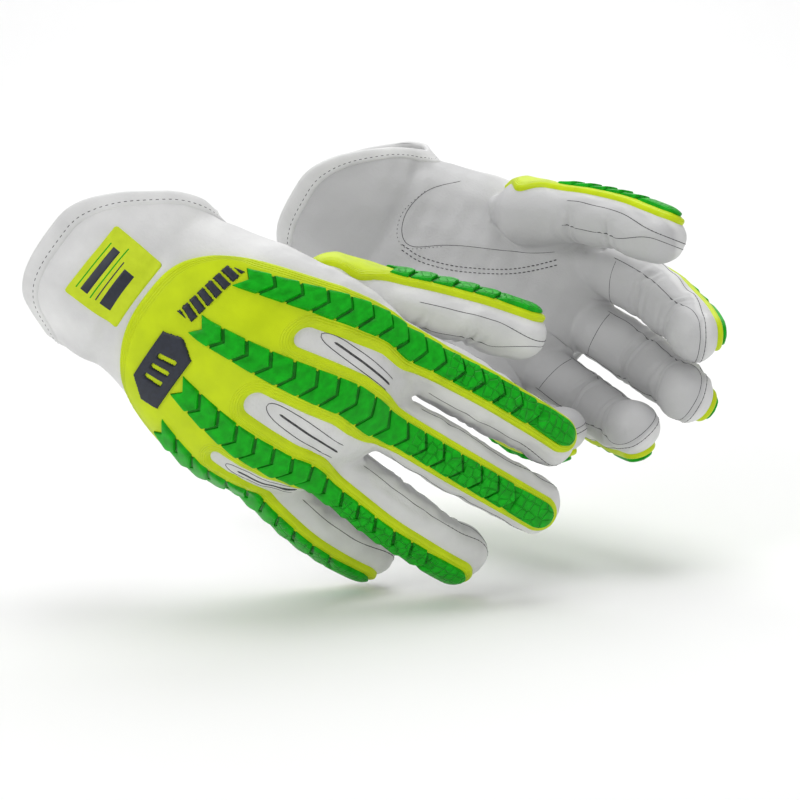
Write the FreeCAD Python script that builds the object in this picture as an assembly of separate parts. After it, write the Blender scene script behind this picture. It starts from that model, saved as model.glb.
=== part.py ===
import FreeCAD, Part
import math
import os

# A pair of leather work gloves with moulded impact guards, as worn on two slightly cupped hands.
# Each glove is drawn flat first: x runs to the fingertips, y to the thumb side, z to the back of
# the hand. It is then bent into its worn pose and placed. Millimetres and degrees.

LEATHER = 1.8          # wall of the hide
GUARD = 2.6            # guard plate on the back
AIR = 0.22             # slip between two layers that lie on each other
SWING = 2.0            # room left in the hand's leather for the thumb to swing
SQUARENESS = 2.4       # superellipse exponent of the hand's section

# Hand section along its length: place, half width, half height.
HAND_X = [-53, -20, 0, 30, 60, 85, 112]
HAND_W = [47, 45, 42, 50, 55.5, 57, 57]
HAND_H = [33, 30, 26, 26, 24, 20, 16]
CUFF_LENGTH = 52.0     # wrist seam to the cuff's edge, at its middle
CUFF_THUMB_CUT = 42.0  # how far the cuff's edge is cut back at its thumb side
CUFF_LITTLE_CUT = 20.0
WRIST_GAP = 0.4

# Fingers: root x, root y, length, half width, half height.
FINGERS = {
    "index": (90, 42, 98, 13.4, 12.6),
    "middle": (94, 14, 105, 13.5, 12.8),
    "ring": (88, -15, 99, 13.3, 12.4),
    "little": (78, -44, 82, 12.6, 11.8),
}
THUMB = (50, 50, -14, 107, 14.0, 12.8)   # root x, y, z, length, half width, half height
FINGER_TAPER = 0.12    # how much narrower a finger is at its tip
HINGE_AT = 24.0        # finger hinge, from the root
THUMB_HINGE_AT = 34.0
STALL_BACK = 6.0       # a stall starts this far behind its hinge
BACK_EDGE = 9.5        # the back of the hand stops this far behind the hinge
PALM_EDGE = 14.5       # and the palm this far
SEAM = 0.1             # half of the angle left open along a side seam
STRIP_HALF = 42.0      # half of the angle that a guard strip covers on a finger
STRIP_WIDE = 0.15      # half width of the guard's rays on the hand, as part of its half width
RIB_HALF = 25.0        # half of the angle that a rib bar covers on a finger
RIB_WIDE = 0.10
RIB_PITCH = 10.0
RIB_LOW, RIB_HIGH = 1.2, 2.6
RIB_SWEEP = 3.0        # how far a chevron rib's ends trail its middle
RIB_START = {"index": 24, "middle": 22, "ring": 30, "little": 33}
# The guard's rays over the hand: their places across it, as parts of its half width.
RAYS = {"index": (0.53, 0.73), "middle": (0.06, 0.24), "ring": (-0.37, -0.27), "little": (-0.72, -0.80)}
RAY_X = (22, 85)       # where those two places are
WINDOW_START = {"index": 50, "middle": 50, "ring": 54}       # windows toward the next finger
EDGE_TURN = (31, 170)                    # the guard's sides, as turns round the hand
LABEL = (-31, -8, 77, 115)               # x from, x to, turn from, turn to
EMBLEM = (11, 26, 94, 128)
ACCENT = (12, 20, 60, 88)
TRIM = 1.2                               # thickness of the label and the emblem
HEM = 6.0

# Worn poses. bends are the three knuckles of each finger.
KNUCKLES = {"index": (2, 46, 74), "middle": (2, 50, 80), "ring": (2, 47, 75), "little": (2, 36, 59),
            "thumb": (6, 44, 72)}
KNUCKLE_HALF = (16, 11, 9)     # half the length over which each knuckle bends
ARCH = 0.0165          # curvature across the cupped hand, 1/mm
ARCH_CENTRE = 10.0
GLOVES = {
    "right": {"tilt": 35, "roll": -16, "yaw": -22, "place": (-99, 0, 31), "side": 1, "flex": 24,
              "index": (10, (0, 6, 6)), "middle": (6, (4, 6, 6)),
              "ring": (-3, (2, 10, 6)), "little": (-12, (0, 10, 6)),
              "thumb": (30, (0, 4, 4)), "abduct": -11},
    "left": {"tilt": 31, "roll": -4, "yaw": -8, "place": (0, 172, 38.5), "side": -1, "flex": 20,
             "index": (14, (12, 18, 12)), "middle": (3, (14, 20, 12)),
             "ring": (-8, (14, 20, 12)), "little": (-17, (12, 18, 12)),
             "thumb": (37, (2, 6, 6)), "abduct": 2},
}
THUMB_ROLL = 60.0
FLEX_CENTRE, FLEX_HALF = 30.0, 45.0      # where along the hand the palm itself bends

V = FreeCAD.Vector


def ease(t):
    """Runs smoothly from 0 to 1."""
    t = min(max(t, 0.0), 1.0)
    return t * t * (3 - 2 * t)


def along(x, xs, ys):
    """A smooth curve through the given stations."""
    x = min(max(x, xs[0]), xs[-1])
    i = max(k for k in range(len(xs) - 1) if xs[k] <= x)
    slopes = []
    for k in (i, i + 1):
        a, b = max(k - 1, 0), min(k + 1, len(xs) - 1)
        slopes.append((ys[b] - ys[a]) / (xs[b] - xs[a]))
    h = xs[i + 1] - xs[i]
    t = (x - xs[i]) / h
    return ((2 * t**3 - 3 * t**2 + 1) * ys[i] + (t**3 - 2 * t**2 + t) * h * slopes[0]
            + (3 * t**2 - 2 * t**3) * ys[i + 1] + (t**3 - t**2) * h * slopes[1])


class Bend:
    """A strip that bends toward the palm at a few places: where s is along it, z above it."""

    def __init__(self, centres, angles, halves, low=-100, high=260):
        self.low = low
        self.rows = [(0.0, 0.0, self.angle(low, centres, angles, halves))]
        x, z = 0.0, 0.0
        for s in range(low, high):
            mid = self.angle(s + 0.5, centres, angles, halves)
            x, z = x + math.cos(mid), z - math.sin(mid)
            self.rows.append((x, z, self.angle(s + 1, centres, angles, halves)))
        x0, z0, _ = self.rows[-low]
        self.rows = [(x - x0, z - z0, a) for x, z, a in self.rows]

    @staticmethod
    def angle(s, centres, angles, halves):
        return sum(math.radians(a) * ease((s - c + h) / (2 * h))
                   for c, a, h in zip(centres, angles, halves))

    def at(self, s, z):
        i = min(max(int(math.floor(s - self.low)), 0), len(self.rows) - 2)
        t = s - self.low - i
        a, b = self.rows[i], self.rows[i + 1]
        x, h, turn = [a[k] + (b[k] - a[k]) * t for k in range(3)]
        return x + z * math.sin(turn), h + z * math.cos(turn)


def ring_point(turn, width, height, power):
    """A point of a superellipse, turn in degrees from the thumb side over the back."""
    c, s = math.cos(math.radians(turn)), math.sin(math.radians(turn))
    return (math.copysign(abs(c) ** (2 / power), c) * width,
            math.copysign(abs(s) ** (2 / power), s) * height)


class Glove:
    """Maps points of the flat glove to the worn, placed one."""

    def __init__(self, pose):
        self.pose = pose
        self.flex = Bend((FLEX_CENTRE,), (pose["flex"],), (FLEX_HALF,))
        self.curls = {f: Bend(KNUCKLES[f], pose[f][1], KNUCKLE_HALF) for f in KNUCKLES}
        self.turn = (FreeCAD.Rotation(V(0, 0, 1), pose["yaw"])
                     * FreeCAD.Rotation(V(0, 1, 0), pose["tilt"])
                     * FreeCAD.Rotation(V(1, 0, 0), pose["roll"]))
        self.frames = {f: self.folded(*self.finger_frame(f)) for f in FINGERS}
        self.frames["thumb"] = self.folded(*self.thumb_frame())

    def cup(self, p):
        """The arch across the hand."""
        k = ARCH * ease((p.x + 30) / 110) + 1e-9
        a = k * (p.y - ARCH_CENTRE)
        return V(p.x, ARCH_CENTRE + math.sin(a) / k + p.z * math.sin(a),
                 (math.cos(a) - 1) / k + p.z * math.cos(a))

    def fold(self, p):
        """The palm's own bend."""
        x, z = self.flex.at(p.x, p.z)
        return V(x, p.y, z)

    def place(self, p):
        """From the worn glove's own axes to the part's."""
        q = V(p.x, -p.z * self.pose["side"], p.y)
        return self.turn.multVec(q) + V(*self.pose["place"]) - ORIGIN

    def hand(self, x, y, z):
        return self.place(self.fold(self.cup(V(x, y, z))))

    def finger_frame(self, name):
        x, y = FINGERS[name][:2]
        lean = ARCH * ease((x + 30) / 110) * (y - ARCH_CENTRE)
        splay = math.radians(self.pose[name][0])
        up = V(0, math.sin(lean), math.cos(lean))
        side = V(0, math.cos(lean), -math.sin(lean))
        ahead = V(math.cos(splay), 0, 0) + side * math.sin(splay)
        return self.cup(V(x, y, 0)), ahead, up.cross(ahead), up

    def thumb_frame(self):
        x, y, z = THUMB[:3]
        root, a, c = [self.cup(V(*p)) for p in ((x, y, z), (x + 1, y, z), (x, y, z + 1))]
        ex = (a - root).normalize()
        ez = (c - root - ex * (c - root).dot(ex)).normalize()
        ey = ez.cross(ex)
        splay, drop, roll = [math.radians(r) for r in (self.pose["thumb"][0], self.pose["abduct"],
                                                       THUMB_ROLL)]
        ahead = (ex * math.cos(splay) + ey * math.sin(splay)) * math.cos(drop) - ez * math.sin(drop)
        flat = (ez - ahead * ez.dot(ahead)).normalize()
        up = flat * math.cos(roll) + flat.cross(ahead) * math.sin(roll)
        return root, ahead, up.cross(ahead), up

    def folded(self, root, *axes):
        """A finger's root and axes after the palm has bent."""
        start = self.fold(root)
        return [start] + [(self.fold(root + a * 0.01) - start).normalize() for a in axes]

    def digit(self, name, s, t, z):
        """A point of a finger: s along it, t across it, z above its middle."""
        x, h = self.curls[name].at(s, z)
        root, ahead, side, up = self.frames[name]
        return self.place(root + ahead * x + side * t + up * h)

    def hand_skin(self, x, turn, lift):
        """A point of the hand's section at x, lifted off its outer face."""
        w, h = along(x, HAND_X, HAND_W) + lift, along(x, HAND_X, HAND_H) + lift
        y, z = ring_point(turn, w, h, SQUARENESS)
        return self.hand(x, y, z)

    def digit_skin(self, name, s, turn, lift):
        length, w, h = (THUMB[3:] if name == "thumb" else FINGERS[name][2:5])
        size = (1 - FINGER_TAPER * s / length)
        cap = max(s - (length - w), 0.0) / w
        size *= math.sqrt(max(1 - cap * cap, 0.0))
        back = max((THUMB_HINGE_AT if name == "thumb" else HINGE_AT) - s, 0.0) / h
        if name != "thumb" or s > THUMB_HINGE_AT - STALL_BACK - 1:
            h *= math.sqrt(max(1 - back * back, 0.0))
        c, d = math.cos(math.radians(turn)), math.sin(math.radians(turn))
        return self.digit(name, s, (w * size + lift) * c, (h * size + lift) * d)


ORIGIN = V(0, 0, 0)
ORIGIN = Glove(GLOVES["right"]).hand(-CUFF_LENGTH, 0, 0)


def patch(grid):
    surface = Part.BSplineSurface()
    surface.interpolate(grid)
    return surface.toShape()


def slab(outer, inner):
    """A closed solid between two grids of points that match row by row."""
    top, base = patch(outer), patch(inner)
    faces = [top, base]
    for edge in top.Edges:
        middle = edge.valueAt((edge.FirstParameter + edge.LastParameter) / 2)
        mate = min(base.Edges, key=lambda e: e.valueAt(
            (e.FirstParameter + e.LastParameter) / 2).distanceToPoint(middle))
        faces.append(Part.makeRuledSurface(edge, mate, 1))
    shell = Part.makeShell(faces)
    shell.sewShape()
    return outward(Part.makeSolid(shell))


def outward(solid):
    if solid.Volume < 0:
        solid.reverse()
    return solid


def steps(low, high, count):
    return [low + (high - low) * i / (count - 1) for i in range(count)]


def sheet(point, us, vs, low, high):
    """A slab over the grid us by vs of a surface point(u, v, lift)."""
    return slab([[point(u, v, high) for v in vs] for u in us],
                [[point(u, v, low) for v in vs] for u in us])


def tube(rings):
    """A solid through closed rings of points."""
    wires = []
    for ring in rings:
        curve = Part.BSplineCurve()
        curve.interpolate(ring, PeriodicFlag=True)
        wires.append(Part.Wire([curve.toShape()]))
    return outward(Part.makeLoft(wires, True, False))


def knuckle_x(turn, edge):
    """Where the hand's leather ends, edge mm behind the row of finger hinges."""
    y = ring_point(turn, 57, 20, SQUARENESS)[0]
    roots = sorted((f[1], f[0]) for f in FINGERS.values())
    ys = [-57] + [r[0] for r in roots] + [57]
    xs = [roots[0][1] - 3] + [r[1] for r in roots] + [roots[-1][1] - 3]
    return along(y, ys, xs) + HINGE_AT - edge


def cuff_x(turn):
    """The rounded edge of the cuff."""
    c = math.cos(math.radians(turn))
    return -CUFF_LENGTH + (CUFF_THUMB_CUT * c ** 1.5 if c > 0 else -CUFF_LITTLE_CUT * c ** 3)


def guard_x(turn):
    """The guard's wrist edge bows toward the cuff."""
    off = (turn - 93) / 52
    return -3 + (26 * (-off) ** 2.67 if off < 0 else 12 * off ** 2)


def ray_part(name, x):
    """A ray's place across the hand at x."""
    low, high = RAYS[name]
    return low + (high - low) * min(max((x - RAY_X[0]) / (RAY_X[1] - RAY_X[0]), 0), 1)


def ray_turn(part):
    """The turn round the hand at which y is this part of the half width."""
    return math.degrees(math.acos(math.copysign(abs(part) ** (SQUARENESS / 2), part)))


def panel(glove, turns, start, stop, low, high, rows=12):
    """A leather or rubber panel on the hand between two edges given as x(turn)."""
    def point(u, turn, lift):
        x = start(turn) + (stop(turn) - start(turn)) * u
        return glove.hand_skin(x, turn, lift)
    return sheet(point, steps(0, 1, rows), turns, low, high)


def window(glove, near, far, start):
    """The cutter for the window between two rays, rounded at its wrist end."""
    rows = []
    for x in [start + r * r for r in steps(0, 8.2, 14)]:
        low, high = ray_part(far, x) + STRIP_WIDE, ray_part(near, x) - STRIP_WIDE
        into = min((x - start + 0.3) / 8, 1)
        half = (high - low) / 2 * math.sqrt(1 - (1 - into) ** 2)
        rows.append((x, [ray_turn((low + high) / 2 + half * k) for k in steps(1, -1, 5)]))
    return slab([[glove.hand_skin(x, t, 6) for t in turns] for x, turns in rows],
                [[glove.hand_skin(x, t, -1) for t in turns] for x, turns in rows])


def rib_lift(s, across, length_left):
    """Height of a rib bar: chevrons, then a plain pad over the last stretch."""
    wave = 0.5 - 0.5 * math.cos(2 * math.pi * (s + RIB_SWEEP * abs(across)) / RIB_PITCH)
    if length_left < 16:
        wave = 0.7
    return GUARD + AIR + RIB_LOW + (RIB_HIGH - RIB_LOW) * wave


def hand_guard(glove):
    plate = panel(glove, steps(*EDGE_TURN, 17), guard_x, lambda t: knuckle_x(t, BACK_EDGE + 0.5),
                  AIR, AIR + GUARD)
    names = list(FINGERS)
    for near, far in zip(names, names[1:]):
        plate = plate.cut(window(glove, near, far, WINDOW_START[near]))
    return plate


def hand_ribs(glove):
    bars = []
    for name, start in RIB_START.items():
        stop = knuckle_x(ray_turn(RAYS[name][1]), BACK_EDGE + 2)
        outer, inner = [], []
        for s in steps(start, stop, int((stop - start) / RIB_PITCH * 4)):
            part = ray_part(name, s)
            turns = [ray_turn(max(part + RIB_WIDE * k, -0.985)) for k in (1, 0.5, 0, -0.5, -1)]
            lifts = [rib_lift(s, k, 99) for k in (1, 0.5, 0, 0.5, 1)]
            outer.append([glove.hand_skin(s, t, h) for t, h in zip(turns, lifts)])
            inner.append([glove.hand_skin(s, t, GUARD + 2 * AIR) for t in turns])
        bars.append(slab(outer, inner))
    return Part.makeCompound(bars)


def tip_steps(start, length, width, stop):
    """Stations along a finger, closer together over the rounded tip."""
    straight = steps(start, length - width, 9)
    cap = [length - width + width * math.sin(math.radians(a)) for a in (18, 34, 48, 60, 68)]
    return straight + [s for s in cap if s < stop - 0.8] + [stop]


def digit_tube(glove, name, start, stop, lift):
    length, width = (THUMB[3:5] if name == "thumb" else FINGERS[name][2:4])
    places = tip_steps(start, length, width, stop) if stop > length - width else steps(start, stop, 6)
    return tube([[glove.digit_skin(name, s, a, lift) for a in range(0, 360, 30)] for s in places])


def stall(glove, name):
    """A finger's leather stall, open toward the hand."""
    length = THUMB[3] if name == "thumb" else FINGERS[name][2]
    start = (THUMB_HINGE_AT if name == "thumb" else HINGE_AT) - STALL_BACK
    outer = digit_tube(glove, name, start, length - 0.4, 0)
    return outer.cut(digit_tube(glove, name, start - 1, length - 2.4, -LEATHER))


def digit_strip(glove, name):
    """The guard strip along the back of a finger."""
    length, width = (THUMB[3:5] if name == "thumb" else FINGERS[name][2:4])
    start = (THUMB_HINGE_AT if name == "thumb" else HINGE_AT) - 3
    return sheet(lambda s, turn, lift: glove.digit_skin(name, s, turn, lift),
                 tip_steps(start, length, width, length - 5), steps(90 - STRIP_HALF, 90 + STRIP_HALF, 7),
                 AIR, AIR + GUARD)


def digit_ribs(glove, name):
    """The bar of chevron ribs and the tip pad on a guard strip."""
    length = THUMB[3] if name == "thumb" else FINGERS[name][2]
    start = (THUMB_HINGE_AT if name == "thumb" else HINGE_AT) + 1
    stop = length - 8
    outer, inner = [], []
    for s in steps(start, stop, int((stop - start) / RIB_PITCH * 4)):
        turns = steps(90 - RIB_HALF, 90 + RIB_HALF, 5)
        lifts = [rib_lift(s, k, stop - s) for k in (1, 0.5, 0, 0.5, 1)]
        outer.append([glove.digit_skin(name, s, t, h) for t, h in zip(turns, lifts)])
        inner.append([glove.digit_skin(name, s, t, GUARD + 2 * AIR) for t in turns])
    return slab(outer, inner)


def glove_parts(glove):
    """Every piece of one glove, by name."""
    back, palm = steps(SEAM, 180 - SEAM, 17), steps(180 + SEAM, 360 - SEAM, 17)
    hand_core = tube([[glove.hand_skin(x, a, AIR) for a in range(0, 360, 20)]
                      for x in steps(-5, 104, 9)])
    reach = THUMB_HINGE_AT - PALM_EDGE
    thumb_hole = digit_tube(glove, "thumb", -14, THUMB_HINGE_AT + 30, SWING)
    thumb_root = digit_tube(glove, "thumb", -14, reach, 0).cut(
        digit_tube(glove, "thumb", -15, reach + 1, -LEATHER)).cut(hand_core)
    saddle = sheet(lambda s, turn, lift: glove.digit_skin("thumb", s, turn, lift),
                   steps(2, reach, 6), steps(90 - STRIP_HALF, 90 + STRIP_HALF, 7), AIR, AIR + GUARD)
    guard_core = tube([[glove.hand_skin(x, a, GUARD + 3 * AIR) for a in range(0, 360, 20)]
                       for x in steps(-5, 104, 9)])

    def on_hand(box, low, high):
        x0, x1, t0, t1 = box
        return panel(glove, steps(t0, t1, 7), lambda t: x0, lambda t: x1, low, high, rows=5)

    hem = [panel(glove, turns, cuff_x, lambda t: cuff_x(t) + HEM, AIR, AIR + TRIM, rows=3)
           for turns in (back, palm)]
    parts = {
        "cuff_back": panel(glove, back, cuff_x, lambda t: -WRIST_GAP, -LEATHER, 0, rows=7),
        "cuff_palm": panel(glove, palm, cuff_x, lambda t: -WRIST_GAP, -LEATHER, 0, rows=7),
        "cuff_hem": Part.makeCompound(hem),
        "cuff_label": on_hand(LABEL, AIR, AIR + TRIM),
        "back_leather": panel(glove, back, lambda t: 0, lambda t: knuckle_x(t, BACK_EDGE),
                              -LEATHER, 0).cut(thumb_hole),
        "palm_leather": panel(glove, palm, lambda t: 0, lambda t: knuckle_x(t, PALM_EDGE),
                              -LEATHER, 0).cut(thumb_hole),
        "thumb_root_leather": thumb_root,
        "thumb_saddle": saddle.cut(guard_core),
        "hand_guard": hand_guard(glove),
        "hand_ribs": hand_ribs(glove),
        "emblem": on_hand(EMBLEM, GUARD + 2 * AIR, GUARD + 2 * AIR + TRIM),
        "accent_bar": on_hand(ACCENT, GUARD + 2 * AIR, GUARD + 2 * AIR + TRIM),
    }
    for name in [*FINGERS, "thumb"]:
        parts[name + "_leather"] = stall(glove, name)
        parts[name + "_strip"] = digit_strip(glove, name)
        parts[name + "_ribs"] = digit_ribs(glove, name)
    return parts


def main():
    os.makedirs("parts", exist_ok=True)
    for hand, pose in GLOVES.items():
        for name, shape in glove_parts(Glove(pose)).items():
            shape.exportStep("parts/" + hand + "_" + name + ".step")


main()
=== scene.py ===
"""A pair of white leather work gloves with moulded yellow and green impact guards, as worn.

Each glove is made flat, in millimetres: x runs to the fingertips, y to the thumb side, z to the back
of the hand. Its leather is the union of a hand and five fingers. The guards, ribs and stitches are
laid on that leather. Everything is then bent into the worn pose and placed, in metres.
"""
import math

import bpy
import numpy as np
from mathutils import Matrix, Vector
from mathutils.bvhtree import BVHTree


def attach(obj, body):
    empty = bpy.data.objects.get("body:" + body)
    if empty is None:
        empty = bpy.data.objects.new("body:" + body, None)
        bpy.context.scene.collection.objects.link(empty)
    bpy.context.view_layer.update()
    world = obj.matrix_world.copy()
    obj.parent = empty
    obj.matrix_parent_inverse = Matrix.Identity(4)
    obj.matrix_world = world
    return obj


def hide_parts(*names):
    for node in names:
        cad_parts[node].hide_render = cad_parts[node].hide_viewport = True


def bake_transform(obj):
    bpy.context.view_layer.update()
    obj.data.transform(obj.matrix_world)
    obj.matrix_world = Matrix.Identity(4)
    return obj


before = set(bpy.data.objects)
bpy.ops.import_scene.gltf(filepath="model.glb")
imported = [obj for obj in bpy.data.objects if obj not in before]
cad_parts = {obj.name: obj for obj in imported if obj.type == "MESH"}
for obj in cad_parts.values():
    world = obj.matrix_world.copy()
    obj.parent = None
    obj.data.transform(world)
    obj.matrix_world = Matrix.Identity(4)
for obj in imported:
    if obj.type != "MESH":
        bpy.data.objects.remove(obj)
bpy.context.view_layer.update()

MM = 0.001
VOXEL = 1.1            # grain of the leather mesh
FLUFF = 6              # rounds of smoothing on it

# The glove's driving sizes, as in the CAD part.
SQUARENESS = 2.4
HAND_X = [-53, -20, 0, 30, 60, 85, 112]
HAND_W = [47, 45, 42, 50, 55.5, 57, 57]
HAND_H = [33, 30, 26, 26, 24, 20, 16]
CUFF_LENGTH = 52.0
CUFF_THUMB_CUT = 42.0
CUFF_LITTLE_CUT = 20.0
FINGERS = {
    "index": (90, 42, 98, 13.4, 12.6),
    "middle": (94, 14, 105, 13.5, 12.8),
    "ring": (88, -15, 99, 13.3, 12.4),
    "little": (78, -44, 82, 12.6, 11.8),
}
THUMB = (50, 50, -14, 107, 14.0, 12.8)
DIGITS = [*FINGERS, "thumb"]
FINGER_TAPER = 0.12
KNUCKLES = {"index": (2, 46, 74), "middle": (2, 50, 80), "ring": (2, 47, 75), "little": (2, 36, 59),
            "thumb": (6, 44, 72)}
KNUCKLE_HALF = (16, 11, 9)
ARCH = 0.0165
ARCH_CENTRE = 10.0
FLEX_CENTRE, FLEX_HALF = 30.0, 45.0
THUMB_ROLL = 60.0
GLOVES = {
    "right": {"tilt": 35, "roll": -16, "yaw": -22, "place": (-99, 0, 31), "side": 1, "flex": 24,
              "index": (10, (0, 6, 6)), "middle": (6, (4, 6, 6)),
              "ring": (-3, (2, 10, 6)), "little": (-12, (0, 10, 6)),
              "thumb": (30, (0, 4, 4)), "abduct": -11},
    "left": {"tilt": 31, "roll": -4, "yaw": -8, "place": (0, 172, 38.5), "side": -1, "flex": 20,
             "index": (14, (12, 18, 12)), "middle": (3, (14, 20, 12)),
             "ring": (-8, (14, 20, 12)), "little": (-17, (12, 18, 12)),
             "thumb": (37, (2, 6, 6)), "abduct": 2},
}
# The flat glove: how far its fingers fan out.
FLAT_SPLAY = {"index": 9, "middle": 2, "ring": -5, "little": -13, "thumb": 33}
FLAT_DROP = -4

CROTCH = {"index": 20, "middle": 20, "ring": 20, "little": 20, "thumb": 40}   # skin is split here
BEND_END = {"index": 38, "middle": 38, "ring": 38, "little": 38, "thumb": 56}

PLUMP = 0.7            # how much wider the fingers are than the form, each side
GUARD = 2.2            # guard plate
LABEL = (-31, -5, 77, 115)     # x from, x to, turn from, turn to
EMBLEM = (11, 26, 94, 128)
ACCENT = (12, 20, 60, 88)
RAY_HALF = 9.2         # half width of a guard's ray
PITCH = 9.6            # chevron ribs
SWEEP = 0.72           # how far a rib's ends trail its middle, per mm across
RIB_HALF = 5.3
RIB_START = {"index": 24, "middle": 22, "ring": 30, "little": 33}
# Where the guard's rays run over the hand, as parts of its half width at the two RAY_X.
RAYS = {"index": (0.53, 0.73), "middle": (0.06, 0.24), "ring": (-0.37, -0.32), "little": (-0.72, -0.81)}
RAY_X = (22, 85)
STRIP_OFF = {"index": 0, "middle": -1, "ring": -4.5, "little": -3, "thumb": 0}    # mm round the finger
WINDOW_START = (50, 50, 54)   # between index and middle, middle and ring, ring and little


# ---------------------------------------------------------------- numbers and maps

def ease(t):
    t = np.clip(t, 0.0, 1.0)
    return t * t * (3 - 2 * t)


def along(x, xs, ys):
    """A smooth curve through the given stations."""
    xs, ys = np.asarray(xs, float), np.asarray(ys, float)
    n = len(xs)
    lo, hi = np.maximum(np.arange(n) - 1, 0), np.minimum(np.arange(n) + 1, n - 1)
    slope = (ys[hi] - ys[lo]) / (xs[hi] - xs[lo])
    x = np.clip(x, xs[0], xs[-1])
    i = np.clip(np.searchsorted(xs, x, side="right") - 1, 0, n - 2)
    h = xs[i + 1] - xs[i]
    t = (x - xs[i]) / h
    return ((2 * t**3 - 3 * t**2 + 1) * ys[i] + (t**3 - 2 * t**2 + t) * h * slope[i]
            + (3 * t**2 - 2 * t**3) * ys[i + 1] + (t**3 - t**2) * h * slope[i + 1])


def mixed(a, b, share):
    share = share if np.ndim(share) == np.ndim(a) else share[:, None]
    return a * (1 - share) + b * share


def unit(v):
    return v / np.maximum(np.linalg.norm(v, axis=-1, keepdims=True), 1e-12)


def turned(axis, degrees):
    a = math.radians(degrees)
    c, s = math.cos(a), math.sin(a)
    return np.array({"x": [[1, 0, 0], [0, c, -s], [0, s, c]],
                     "y": [[c, 0, s], [0, 1, 0], [-s, 0, c]],
                     "z": [[c, -s, 0], [s, c, 0], [0, 0, 1]]}[axis])


def power(v, p):
    return np.sign(v) * np.abs(v) ** p


class Bend:
    """A strip that bends toward the palm at a few places."""

    def __init__(self, centres, angles, halves, low=-100, high=260):
        def angle(s):
            return sum(math.radians(a) * ease((s - c + h) / (2 * h))
                       for c, a, h in zip(centres, angles, halves))
        self.s = np.arange(low, high + 1.0)
        self.turn = angle(self.s)
        mid = angle(self.s[:-1] + 0.5)
        self.x = np.concatenate([[0], np.cumsum(np.cos(mid))])
        self.z = np.concatenate([[0], -np.cumsum(np.sin(mid))])
        self.x, self.z = self.x - self.x[-low], self.z - self.z[-low]

    def at(self, s, z):
        a = np.interp(s, self.s, self.turn)
        return (np.interp(s, self.s, self.x) + z * np.sin(a),
                np.interp(s, self.s, self.z) + z * np.cos(a))


def thumb_axes(ex, ey, ez, splay, drop):
    splay, drop, roll = map(math.radians, (splay, drop, THUMB_ROLL))
    ahead = (ex * math.cos(splay) + ey * math.sin(splay)) * math.cos(drop) - ez * math.sin(drop)
    flat = unit(ez - ahead * (ez @ ahead))
    up = flat * math.cos(roll) + np.cross(flat, ahead) * math.sin(roll)
    return ahead, np.cross(up, ahead), up


def flat_frame(name):
    """Root, ahead, side and up of a finger of the flat glove."""
    if name == "thumb":
        return (np.array(THUMB[:3], float), *thumb_axes(*np.eye(3), FLAT_SPLAY[name], FLAT_DROP))
    a = math.radians(FLAT_SPLAY[name])
    x, y = FINGERS[name][:2]
    return (np.array([x, y, 0.0]), np.array([math.cos(a), math.sin(a), 0]),
            np.array([-math.sin(a), math.cos(a), 0]), np.array([0, 0, 1.0]))


FLAT = {name: flat_frame(name) for name in DIGITS}


def in_digit(name, p):
    """Flat points as s along, t across and z above a finger."""
    root, ahead, side, up = FLAT[name]
    q = p - root
    return q @ ahead, q @ side, q @ up


def size_of(name):
    return THUMB[3:] if name == "thumb" else FINGERS[name][2:5]


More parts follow.
